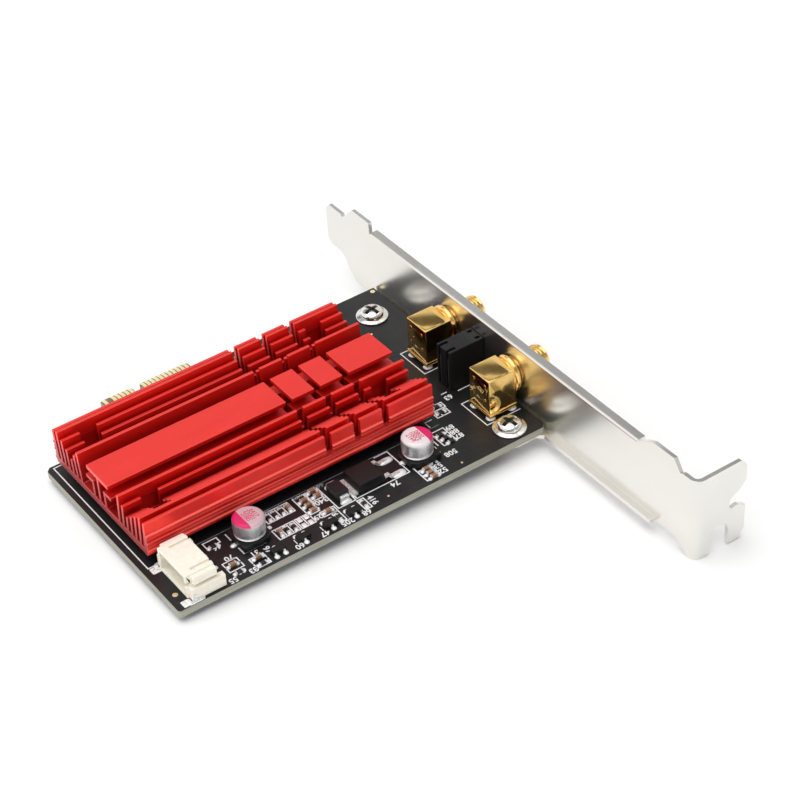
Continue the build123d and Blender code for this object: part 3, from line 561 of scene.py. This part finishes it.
def cross_head(centre, radius, height, low):
    """A pan head with a cross recess. The columns run round the outline of a cross, whose distance is the
    lesser of arm length over cosine and half width over sine from each arm's axis. The rows run up the rim,
    over the dome in to that outline, down the walls and over the floor."""
    reach, half = 0.75 * radius, 0.18 * radius
    tip_turn = math.atan2(half, reach)
    bends = (-np.pi / 4, -tip_turn, tip_turn, np.pi / 4)
    arm = np.concatenate([np.linspace(bends[i], bends[i + 1], count)[:-1]
                          for i, count in enumerate((9, 5, 9))])
    lean = np.tile(arm, 4)
    turn = lean + np.repeat(np.arange(4), len(arm)) * np.pi / 2 + cross_turn
    cross = np.minimum(reach / np.cos(lean), half / np.maximum(np.abs(np.sin(lean)), 1e-6))
    inward = np.linspace(0, 1, 10)[:, None]
    dome = radius + (cross - radius) * inward
    dome_z = height * (1 - 0.3 * (dome / radius) ** 2 - 0.28 * (dome / radius) ** 8)
    floor = np.array([0.97, 0.84, 0.5, 0])[:, None] * cross
    floor_z = height - 1.05 + 0.4 * (floor / reach) ** 2
    floor_z[0] = dome_z[-1] - 0.05
    distance = np.vstack([np.full((1, len(turn)), radius), dome, floor])
    z = np.vstack([np.zeros((1, len(turn))), dome_z, floor_z])
    grid = np.stack([distance * np.cos(turn), distance * np.sin(turn), z], -1)
    return skin(lay(grid + np.array([centre[0], centre[1], low])))


def recess_shaded_nickel():
    """Bright plating, dull in the cross recess, where its colour is also painted near black as shade. An
    attribute of the mesh says where that is."""
    material, tree, shader = shader_of("recess_shaded_nickel")
    polish = spread(tree, grain(tree, 1800), "Fac", 0, 1)
    bright = blend(tree, polish, "Result", (0.72, 0.71, 0.68), (0.84, 0.83, 0.80))
    sunk = tree.nodes.new("ShaderNodeAttribute")
    sunk.attribute_name = "sunk"
    # painted shade: the cross recess is coloured near black; its greater roughness is the dull plating
    colour_in(tree, blend(tree, sunk, "Fac", bright, (0.09, 0.08, 0.07)), shader)
    link(tree, spread(tree, sunk, "Fac", 0.16, 0.5, 0, 1), "Result", shader, "Roughness")
    shader.inputs["Metallic"].default_value = 1.0
    return material


heads = []
washers = []
first, last = measured("bracket_washers")
washer_low, washer_top = first[2], last[2]
screw_low = measured("bracket_screws")[0][2]
washer_radius = 3.46
washer_bore = 1.6
shank_radius = 1.42
head_radius, head_height = 2.5, 1.35
screw_x = first[0] + washer_radius
screw_places = [(screw_x, first[1] + washer_radius), (screw_x, last[1] - washer_radius)]
rim = (washer_top - washer_low) * 0.35
for x, y in screw_places:
    profile = [(washer_bore, washer_low), *arc((washer_radius - rim, washer_low + rim), rim, -90, 75, 9),
               (washer_bore, washer_top), (washer_bore, washer_low)]
    washers.append(turned(profile, (x, y, 0), "z"))
    heads.append(cross_head((x, y), head_radius, head_height, washer_top))
    shank = [(0, screw_low), (1.15, screw_low), (shank_radius, screw_low + 0.3), (shank_radius, washer_top),
             (0, washer_top)]
    heads.append(turned(shank, (x, y, 0), "z", 32))
screws = piece("bracket_screw_heads", heads, recess_shaded_nickel(), ("bracket_screws",), 38)
places = np.empty(len(screws.data.vertices) * 3)
screws.data.vertices.foreach_get("co", places)
places = (places.reshape(-1, 3) - corner) * 1000
apart = np.min([np.hypot(places[:, 0] - x, places[:, 1] - y) for x, y in screw_places], axis=0)
lift = places[:, 2] - washer_top
# the cross recess, where the shade is painted on the screw heads
sunk = (apart < 0.85 * head_radius) & (lift > 0.01) & (lift < 0.93)
screws.data.attributes.new("sunk", "FLOAT", "POINT").data.foreach_set("value", sunk.astype(float))
piece("bracket_screw_washers", washers, bright_nickel, ("bracket_washers",))

# Antenna jacks: brass bodies turned and milled, then gold plated: a cube on a foot plate with four legs, a
# pressed round cover at the back, a flange against the bracket and a threaded barrel through it.
jack_gold = plated_gold("jack_gold", (0.86, 0.55, 0.17), (0.96, 0.66, 0.25), (0.07, 0.13), 0.3)


def block(low, high, radius, steps=3, draft=0.0, crown=0.0):
    """A block with all its edges rounded: each corner of the inner box carries an eighth of a sphere, the
    columns run round the four corners and the rows from the foot to the top. A draft narrows it upwards, and
    a crown swells the top along X like a parabola."""
    low, high = np.asarray(low, float), np.asarray(high, float)
    middle, half = (low + high) / 2, (high - low) / 2 - radius
    turn = np.concatenate([np.linspace(q, q + 1, steps + 1) for q in range(4)]) * np.pi / 2
    sign_x = np.repeat([1, -1, -1, 1], steps + 1)
    sign_y = np.repeat([1, 1, -1, -1], steps + 1)
    lift = np.concatenate([np.linspace(-1, 0, steps + 1), np.linspace(0, 1, steps + 1)])[:, None] * np.pi / 2
    sign_z = np.repeat([-1, 1], steps + 1)[:, None]
    z = sign_z * half[2] + radius * np.sin(lift)
    narrow = 1 - draft * (z - z.min()) / (z.max() - z.min())
    x = (sign_x * half[0] + radius * np.cos(lift) * np.cos(turn)) * narrow
    y = (sign_y * half[1] + radius * np.cos(lift) * np.sin(turn)) * narrow
    z = z * np.ones(len(turn))
    inward = np.linspace(1, 0, 9)[1:, None] if crown else np.empty((0, 1))
    x, y = np.vstack([x, inward * x[-1]]), np.vstack([y, inward * y[-1]])
    z = np.vstack([z, inward * 0 + z[-1]])
    z = z + np.where(z > 0, crown * (1 - (x / x.max()) ** 2) - crown, 0)
    return skin(lay(np.stack([x, y, z], -1) + middle))


def thread(centre, start, end, root, crest, pitch, count=40):
    """A threaded barrel: the radius goes from root to crest with the sine of the angle less the turns along
    the axis, and falls to the root at both ends."""
    turn = np.linspace(0, 2 * np.pi, count, endpoint=False)
    along = np.linspace(start, end, int((end - start) / pitch * 8))[:, None]
    wave = 0.5 + 0.5 * np.sin(turn - 2 * np.pi * along / pitch)
    fade = np.clip((end - along) / (1.1 * pitch), 0, 1) * np.clip((along - start) / (0.6 * pitch), 0, 1)
    radius = root - 0.25 * (1 - np.clip((end - along) / 0.4, 0, 1)) + (crest - root) * wave * fade
    grid = np.stack([along * np.ones(count), radius * np.cos(turn), radius * np.sin(turn)], -1)
    return grid + np.array([0, centre[0], centre[1]])


def hexagon(centre, start, end, flats, bore, chamfer, count=72):
    """A chamfered nut: the distance to the hexagon's sides, cut back to a circle at both faces, round a
    bore."""
    turn = np.linspace(0, 2 * np.pi, count, endpoint=False)
    side = flats / 2 / np.cos((turn + np.pi / 6) % (np.pi / 3) - np.pi / 6)
    round_off = np.minimum(side, flats / 2 * 1.02)
    hole = bore * np.ones(count)
    rows = [(hole, start), (round_off, start), (side, start + chamfer), (side, end - chamfer),
            (round_off, end), (hole, end)]
    grid = [np.stack([np.full(count, x), centre[0] + r * np.cos(turn), centre[1] + r * np.sin(turn)], -1)
            for r, x in rows]
    return skin(lay(np.stack(grid)), ring=True)


solder = finish("solder", (0.86, 0.86, 0.87), (0.96, 0.96, 0.96), (0.22, 0.36), 0.25, 1500, relief=0.12)
white_insulator = finish("white_insulator", (0.74, 0.73, 0.70), (0.84, 0.83, 0.80), (0.4, 0.5), scale=2000)
joints = []
sheet = 0.86
cube_half, cube_low, cube_top, cube_depth = 3.25, 1.45, 9.75, 6.5
foot_half, foot_bottom, foot_top, foot_over = 3.4, 0.7, 1.5, 0.15
leg_reach, leg_half, leg_top = 2.55, 0.5, 0.9
ring_radius, ring_width, neck_radius = 3.4, 1.2, 3.1
bore_radius, nut_bore, nut_flats = 2.3, 2.98, 8.0
cover_drop = 0.5
for number in (1, 2):
    stem = f"antenna_jack_{number}"
    body_low, body_high = measured(stem + "_body")
    lock_low, lock_high = measured(stem + "_lock_washer")
    nut_low, nut_high = measured(stem + "_nut")
    fill_low, fill_high = measured(stem + "_insulator")
    y, z = (fill_low[1:] + fill_high[1:]) / 2
    plate_in = lock_low[0] - sheet
    end = body_high[0]
    back = body_low[0] + foot_over
    front = back + cube_depth
    middle = (back + front) / 2
    skins = [block((back, y - cube_half, cube_low), (front, y + cube_half, cube_top), 0.2, 4, 0, 0.24),
             block((back - foot_over, y - foot_half, foot_bottom),
                   (front + foot_over, y + foot_half, foot_top), 0.12)]
    for dx in (-leg_reach, leg_reach):
        for dy in (-leg_reach, leg_reach):
            leg_x, leg_y = middle + dx, y + dy
            skins.append(block((leg_x - leg_half, leg_y - leg_half, body_low[2]),
                               (leg_x + leg_half, leg_y + leg_half, leg_top), 0.12, 2))
            joints.append(mound((leg_x, leg_y, 0), 1.0, 0.95, 0.42, 2.2))
    bead = ring_width / 2
    ring = [(0, front - 0.3), (ring_radius, front - 0.3), *arc((ring_radius, front + bead), bead, -90, 90, 15),
            (neck_radius, front + ring_width), (neck_radius, plate_in), (0, plate_in)]
    skins.append(turned(ring, (0, y, z), "x", 72))
    barrel = thread((y, z), plate_in - 0.1, end, 2.76, 3.05, 0.7056)
    face = [(bore_radius, end), (bore_radius, fill_low[0]), (0, fill_low[0])]
    turn = np.linspace(0, 2 * np.pi, 40, endpoint=False)
    mouth = np.stack([np.stack([np.full(40, x), y + r * np.cos(turn), z + r * np.sin(turn)], -1)
                      for r, x in face])
    skins.append(skin(lay(np.concatenate([barrel, mouth]))))
    cover = [(0, back + 0.1), (2.3, back + 0.1), (2.3, back), (2.12, back - 0.06), (0, back - 0.06)]
    skins.append(turned(cover, (0, y, z - cover_drop), "x", 40))
    stake = [(0, back + 0.1), (0.42, back + 0.1), (0.42, back - 0.04), (0.25, back - 0.14), (0, back - 0.14)]
    for stake_y, stake_z in arc((y, z - cover_drop), 2.55, 45, 315, 4):
        skins.append(turned(stake, (0, stake_y, stake_z), "x", 16))
    piece(f"jack_{number}_body", skins, jack_gold, (stem + "_body",), 40)
    nut = hexagon((y, z), nut_low[0], nut_high[0], nut_flats, nut_bore, 0.28)
    piece(f"jack_{number}_nut", [nut], jack_gold, (stem + "_nut",))
    teeth = np.linspace(0, 2 * np.pi, 96, endpoint=False)
    star = 3.75 + 0.45 * np.clip(1.6 * np.sin(16 * teeth), -1, 1)
    twist = 0.12 * np.sin(16 * teeth) + (lock_low[0] + lock_high[0]) / 2
    hole = np.full(96, nut_bore)
    rows = [(hole, np.full(96, lock_low[0])), (star, twist - 0.12), (star, twist + 0.12),
            (hole, np.full(96, lock_high[0]))]
    grid = [np.stack([x, y + r * np.cos(teeth), z + r * np.sin(teeth)], -1) for r, x in rows]
    piece(f"jack_{number}_lock_washer", [skin(lay(np.stack(grid)), ring=True)], bright_nickel,
          (stem + "_lock_washer",))
    paint(stem + "_insulator", white_insulator)
    paint(stem + "_pin", jack_gold)
piece("jack_solder", joints, solder)

# Indicator lamps: two lamps one above the other in a black moulded holder, their leads bent down through
# the board and soldered, their lenses looking out through the bracket.
softened("lamp_holder", 0.12, black_moulding)
tinned = finish("tinned_metal", (0.70, 0.70, 0.70), (0.86, 0.86, 0.85), (0.22, 0.36), 0.5, 2500,
                relief=0.08, depth=1e-5)
dull_steel = finish("dull_steel", (0.06, 0.06, 0.062), (0.12, 0.12, 0.12), (0.45, 0.6), 0.6, 2500)
lamp_resin = finish("lamp_resin", (0.30, 0.62, 0.36), (0.40, 0.72, 0.44), (0.1, 0.2), scale=900,
                    Transmission_Weight=0.35)
softened("lamp_leads", 0.05, dull_steel)
lens_low, lens_high = measured("lamp_lenses")
lens_radius = 1.5
dome = arc((0, lens_high[0] - lens_radius), lens_radius, 0, 90, 9)
lens_profile = [(0, lens_low[0]), (lens_radius, lens_low[0]), *dome]
lens_y = (lens_low[1] + lens_high[1]) / 2
lenses = [turned(lens_profile, (0, lens_y, z), "x", 40)
          for z in (lens_low[2] + lens_radius, lens_high[2] - lens_radius)]
piece("lamp_domes", lenses, lamp_resin, ("lamp_lenses",))


# Capacitors: drawn aluminium cans, crimped over a seal and set on a black plastic base with two flat feet.
# The lids carry a coloured half moon that marks one pole, and a plain number.
def can_finish(name, centre, side, wash):
    """Satin aluminium with drawing lines round the can. On the lid the colour is a pale wash, and beyond a
    chord on one side it is the magenta of the pole mark, by Object coordinates."""
    material, tree, shader = shader_of(name)
    lines = grain(tree, 2200, (0.25, 0.25, 2.2), 3)
    place = tree.nodes.new("ShaderNodeTexCoord")
    spot = tree.nodes.new("ShaderNodeSeparateXYZ")
    link(tree, place, "Object", spot, "Vector")
    lid_z = float(lay((0, 0, 4.85))[2])
    chord_x = float(lay((centre[0] + side * 1.15, 0, 0))[0])
    lid = spread(tree, spot, "Z", 0, 1, lid_z - 0.00025, lid_z + 0.00025)
    ends = (chord_x - 0.00004, chord_x + 0.00004) if side > 0 else (chord_x + 0.00004, chord_x - 0.00004)
    moon = spread(tree, spot, "X", 0, 1, *ends)
    marked = calculated(tree, "MULTIPLY", lid.outputs["Result"], moon.outputs["Result"])
    metal = blend(tree, spread(tree, lines, "Fac", 0, 1), "Result", (0.66, 0.66, 0.67), (0.80, 0.80, 0.81))
    washed = blend(tree, lid, "Result", metal, wash)
    colour_in(tree, blend(tree, marked, "Value", washed, (0.72, 0.012, 0.13)), shader)
    link(tree, spread(tree, lid, "Result", 1, 0.1, 0, 1), "Result", shader, "Metallic")
    link(tree, spread(tree, lines, "Fac", 0.38, 0.5), "Result", shader, "Roughness")
    return material


pole_ink = finish("pole_ink", (0.56, 0.07, 0.13), (0.66, 0.13, 0.20), (0.45, 0.6), scale=3000)
for number, side, wash in ((1, -1, (0.64, 0.43, 0.47)), (2, 1, (0.80, 0.72, 0.74))):
    stem = f"capacitor_{number}"
    can_low, can_high = measured(stem + "_can")
    x, y = (can_low[:2] + can_high[:2]) / 2
    low, top = can_low[2], can_high[2]
    radius = (can_high[0] - can_low[0]) / 2
    profile = [(0, low), *arc((radius - 0.3, low + 0.2), 0.2, -90, 0, 4), (radius - 0.06, low + 0.36),
               (radius - 0.26, low + 0.5), (radius - 0.30, low + 0.62), (radius - 0.22, low + 0.76),
               (radius - 0.04, low + 0.9), (radius, low + 1.05),
               *arc((radius - 0.75, top - 0.75), 0.75, 0, 90, 9), (0, top)]
    piece(f"{stem}_drawn_can", [turned(profile, (x, y, 0), "z", 64)],
          can_finish(f"can_{number}", (x, y), side, wash), (stem + "_can",))
    marks = [lettered(row, (x + side * (0.55 - 0.93 * i), y), 1.3, 90 * side, top - 0.004, 0.012)
             for i, row in enumerate(("2080", "33001", "6417"))]
    piece(f"{stem}_marks", marks, pole_ink)
    softened(stem + "_base", 0.12, black_moulding)
    paint(stem + "_feet", tinned)

# Power transistor and diode: moulded bodies on tinned metal, soldered flat. The solder creeps up round the
# tab, the leads and the wrapped ends.
softened("power_transistor_body", 0.12, black_moulding)
softened("power_transistor_leads", 0.05, tinned)
softened("diode_body", 0.12, black_moulding)
diode_ends = [block((39.6, y - 0.36, 0), (41.5, y + 0.36, 1.4), 0.14, 3) for y in (6.36, 11.04)]
piece("diode_wraps", diode_ends, tinned, ("diode_terminals",))
heaps = [mound((42.75, 8.75, 0), 0.55, 2.7, 0.35, 4), mound((53.2, 6.46, 0), 1.6, 0.85, 0.42, 3),
         mound((53.2, 11.04, 0), 1.6, 0.85, 0.42, 3), mound((40.6, 5.95, 0), 1.2, 0.62, 0.6, 3.2),
         mound((40.6, 11.45, 0), 1.2, 0.62, 0.6, 3.2)]
heaps += [mound((x, y, 0), 0.48, 0.6, 0.1, 5, 24, 4) for x in (30.75, 32.25) for y in (5.5, 7.15)]
heaps += [mound((x, y, 0), 0.75, 0.5, 0.3, 3, 20, 5)
          for x, y in ((17.3, 8.9), (24.9, 8.95), (55.6, 8.6), (62.6, 8.2))]

# Small transistors: three-lead moulded parts in a row behind the front edge, their feet in solder.
softened("small_transistor_bodies", 0.09, black_moulding)
softened("small_transistor_leads", 0.04, tinned)
for x, y, way in ((22.9, 2.45, 1), (28.5, 2.45, -1), (34.6, 2.45, -1), (39.9, 2.5, -1)):
    for dx, side in ((0, way), (-0.95, -way), (0.95, -way)):
        heaps.append(mound((x + dx, y + side * 1.2, 0), 0.52, 0.58, 0.32, 2.3, 20, 6))

# Chip resistors and capacitors: small fired blocks, black glazed or brown ceramic, with tinned end caps
# that sit in solder.
black_glaze = finish("black_glaze", (0.010, 0.010, 0.012), (0.03, 0.03, 0.034), (0.22, 0.34), scale=2500)
brown_ceramic = finish("brown_ceramic", (0.26, 0.13, 0.065), (0.40, 0.22, 0.12), (0.4, 0.55), scale=2500,
                       relief=0.15)
softened("chip_resistors", 0.05, black_glaze, 1)
softened("chip_capacitors", 0.07, brown_ceramic, 1)
softened("chip_terminals", 0.07, tinned, 1)
upright_chips = ((26.4, 11.2), (27.9, 11.2), (29.4, 11.2), (27.35, 6.25), (28.85, 6.1), (36.95, 3.15),
                 (42.9, 3.25), (30.9, 11.2), (25.9, 6.4))
flat_chips = ((18.9, 1.35), (14.2, 2.1), (14.0, 11.0), (66.1, 10.6), (66.4, 9.2), (66.8, 7.75), (70.3, 16.2),
              (70.6, 18.1), (34.3, 11.05), (34.3, 9.45), (34.3, 7.7), (37.0, 12.35), (37.2, 10.75),
              (36.3, 5.75), (19.0, 3.25), (14.2, 4.4), (57.9, 3.9), (57.9, 2.6), (57.9, 1.3))
for side in (-1, 1):
    heaps += [mound((x, y + side * 0.98, 0), 0.46, 0.4, 0.32, 3, 16, 4) for x, y in upright_chips]
    heaps += [mound((x + side * 0.98, y, 0), 0.4, 0.46, 0.32, 3, 16, 4) for x, y in flat_chips]
piece("part_solder", heaps, solder)

# Cable header: a cream nylon shell moulded in one shot, four tinned pins, and two steel anchors soldered
# to lands beside it.
cream_nylon = finish("cream_nylon", (0.90, 0.85, 0.72), (0.95, 0.91, 0.80), (0.34, 0.46), scale=1200,
                     relief=0.1, Subsurface_Weight=0.15, Subsurface_Scale=0.0006)
softened("cable_header_shell", 0.16, cream_nylon, 3)
softened("cable_header_pins", 0.05, tinned)
softened("cable_header_anchors", 0.07, tinned)
lands = [mound((2.35, 1.2, 0), 0.95, 0.9, 0.05, 8, 28, 3), mound((2.35, 12.3, 0), 0.95, 0.9, 0.05, 8, 28, 3),
         mound((4.2, 0.42, 0), 1.6, 0.3, 0.16, 5, 28, 4), mound((4.2, 13.38, 0), 1.6, 0.3, 0.16, 5, 28, 4)]
lands += [mound((11.0, 3.9 + 2 * i, 0), 0.85, 0.5, 0.3, 3.5) for i in range(4)]
piece("header_solder", lands, solder)

# The table, the light and the camera: a white sweep in a soft studio, seen from the front left and above.
# The card rests on the bracket's foot and the nuts at its free end, so the table leans under it.
floor_mesh = bpy.data.meshes.new("table")
reach = 3.0
foot_x = float(lay((84.5, 0, 0))[0])
nut_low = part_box("heatsink_nuts")[0]
lean = float(nut_low[2]) / (foot_x - float(nut_low[0]))
floor_corners = ((-reach, -reach), (reach, -reach), (reach, reach), (-reach, reach))
floor_mesh.from_pydata([(x, y, (foot_x - x) * lean) for x, y in floor_corners], [], [(0, 1, 2, 3)])
floor = bpy.data.objects.new("table", floor_mesh)
bpy.context.scene.collection.objects.link(floor)
white, tree, shader = shader_of("white_table")
shader.inputs["Base Color"].default_value = (0.96, 0.96, 0.96, 1)
shader.inputs["Roughness"].default_value = 0.9
shader.inputs["Specular IOR Level"].default_value = 0.0
floor_mesh.materials.append(white)

world = bpy.data.worlds.new("studio")
world.use_nodes = True
bpy.context.scene.world = world
tree = world.node_tree
sky = tree.nodes["Background"]
direction = tree.nodes.new("ShaderNodeTexCoord")
height = tree.nodes.new("ShaderNodeSeparateXYZ")
link(tree, direction, "Generated", height, "Vector")


def heights(stops):
    """The studio's brightness from the horizon up to overhead, as levels at sines of the elevation."""
    ramp = tree.nodes.new("ShaderNodeValToRGB")
    levels = ramp.color_ramp.elements
    for end in (0, -1):
        levels[end].position, level = stops[end]
        levels[end].color = (level, level, level, 1)
    for place, level in stops[1:-1]:
        levels.new(place).color = (level, level, level, 1)
    link(tree, height, "Z", ramp, "Fac")
    return ramp


banded = heights(((0.0, 0.62), (0.51, 0.62), (0.585, 0.105), (0.69, 0.10), (0.70, 0.6), (0.725, 0.6),
                  (0.74, 0.16), (0.79, 0.2), (0.85, 1.0), (1.0, 0.7)))
behind = blend(tree, spread(tree, height, "X", 1, 0, -0.35, -0.2), "Result", banded, (0.62, 0.62, 0.62))
before = heights(((0.0, 0.62), (0.3, 0.56), (0.5, 0.22), (0.7, 0.18), (0.9, 0.5), (1.0, 0.7)))
depth_way = tree.nodes.new("ShaderNodeVectorMath")
depth_way.operation = "DOT_PRODUCT"
depth_way.inputs[1].default_value = (-0.35, 0.937, 0)
link(tree, direction, "Generated", depth_way, 0)
around = blend(tree, spread(tree, depth_way, "Value", 0, 1, -0.2, 0.35), "Result", before, behind)
tree.links.new([o for o in around.outputs if o.type == "RGBA"][-1], sky.inputs["Color"])
link(tree, spread(tree, height, "X", 1.79, 1.1, 0.3, 0.62), "Result", sky, "Strength")

overhead = bpy.data.lights.new("overhead", "SUN")
overhead.energy = 1.05
overhead.angle = math.radians(52)
lamp = bpy.data.objects.new("overhead", overhead)
bpy.context.scene.collection.objects.link(lamp)
lamp.rotation_euler = (math.radians(3), math.radians(-12), 0)

azimuth, elevation, roll = math.radians(-33.17), math.radians(38.82), math.radians(-3.62)
backward = np.array([math.sin(azimuth) * math.cos(elevation), -math.cos(azimuth) * math.cos(elevation),
                     math.sin(elevation)])
level = np.array([math.cos(azimuth), math.sin(azimuth), 0])
upright = np.cross(backward, level)
right = math.cos(roll) * level + math.sin(roll) * upright
upward = np.cross(backward, right)
spot = np.array([-0.17334, -0.28484, 0.28659])
lens = bpy.data.cameras.new("camera")
lens.sensor_width = 36.0
lens.lens = 101.05
lens.clip_start = 0.01
camera = bpy.data.objects.new("camera", lens)
bpy.context.scene.collection.objects.link(camera)
camera.matrix_world = Matrix([[right[i], upward[i], backward[i], spot[i]] for i in range(3)] + [[0, 0, 0, 1]])
bpy.context.scene.camera = camera
bpy.context.scene.view_settings.view_transform = "Standard"
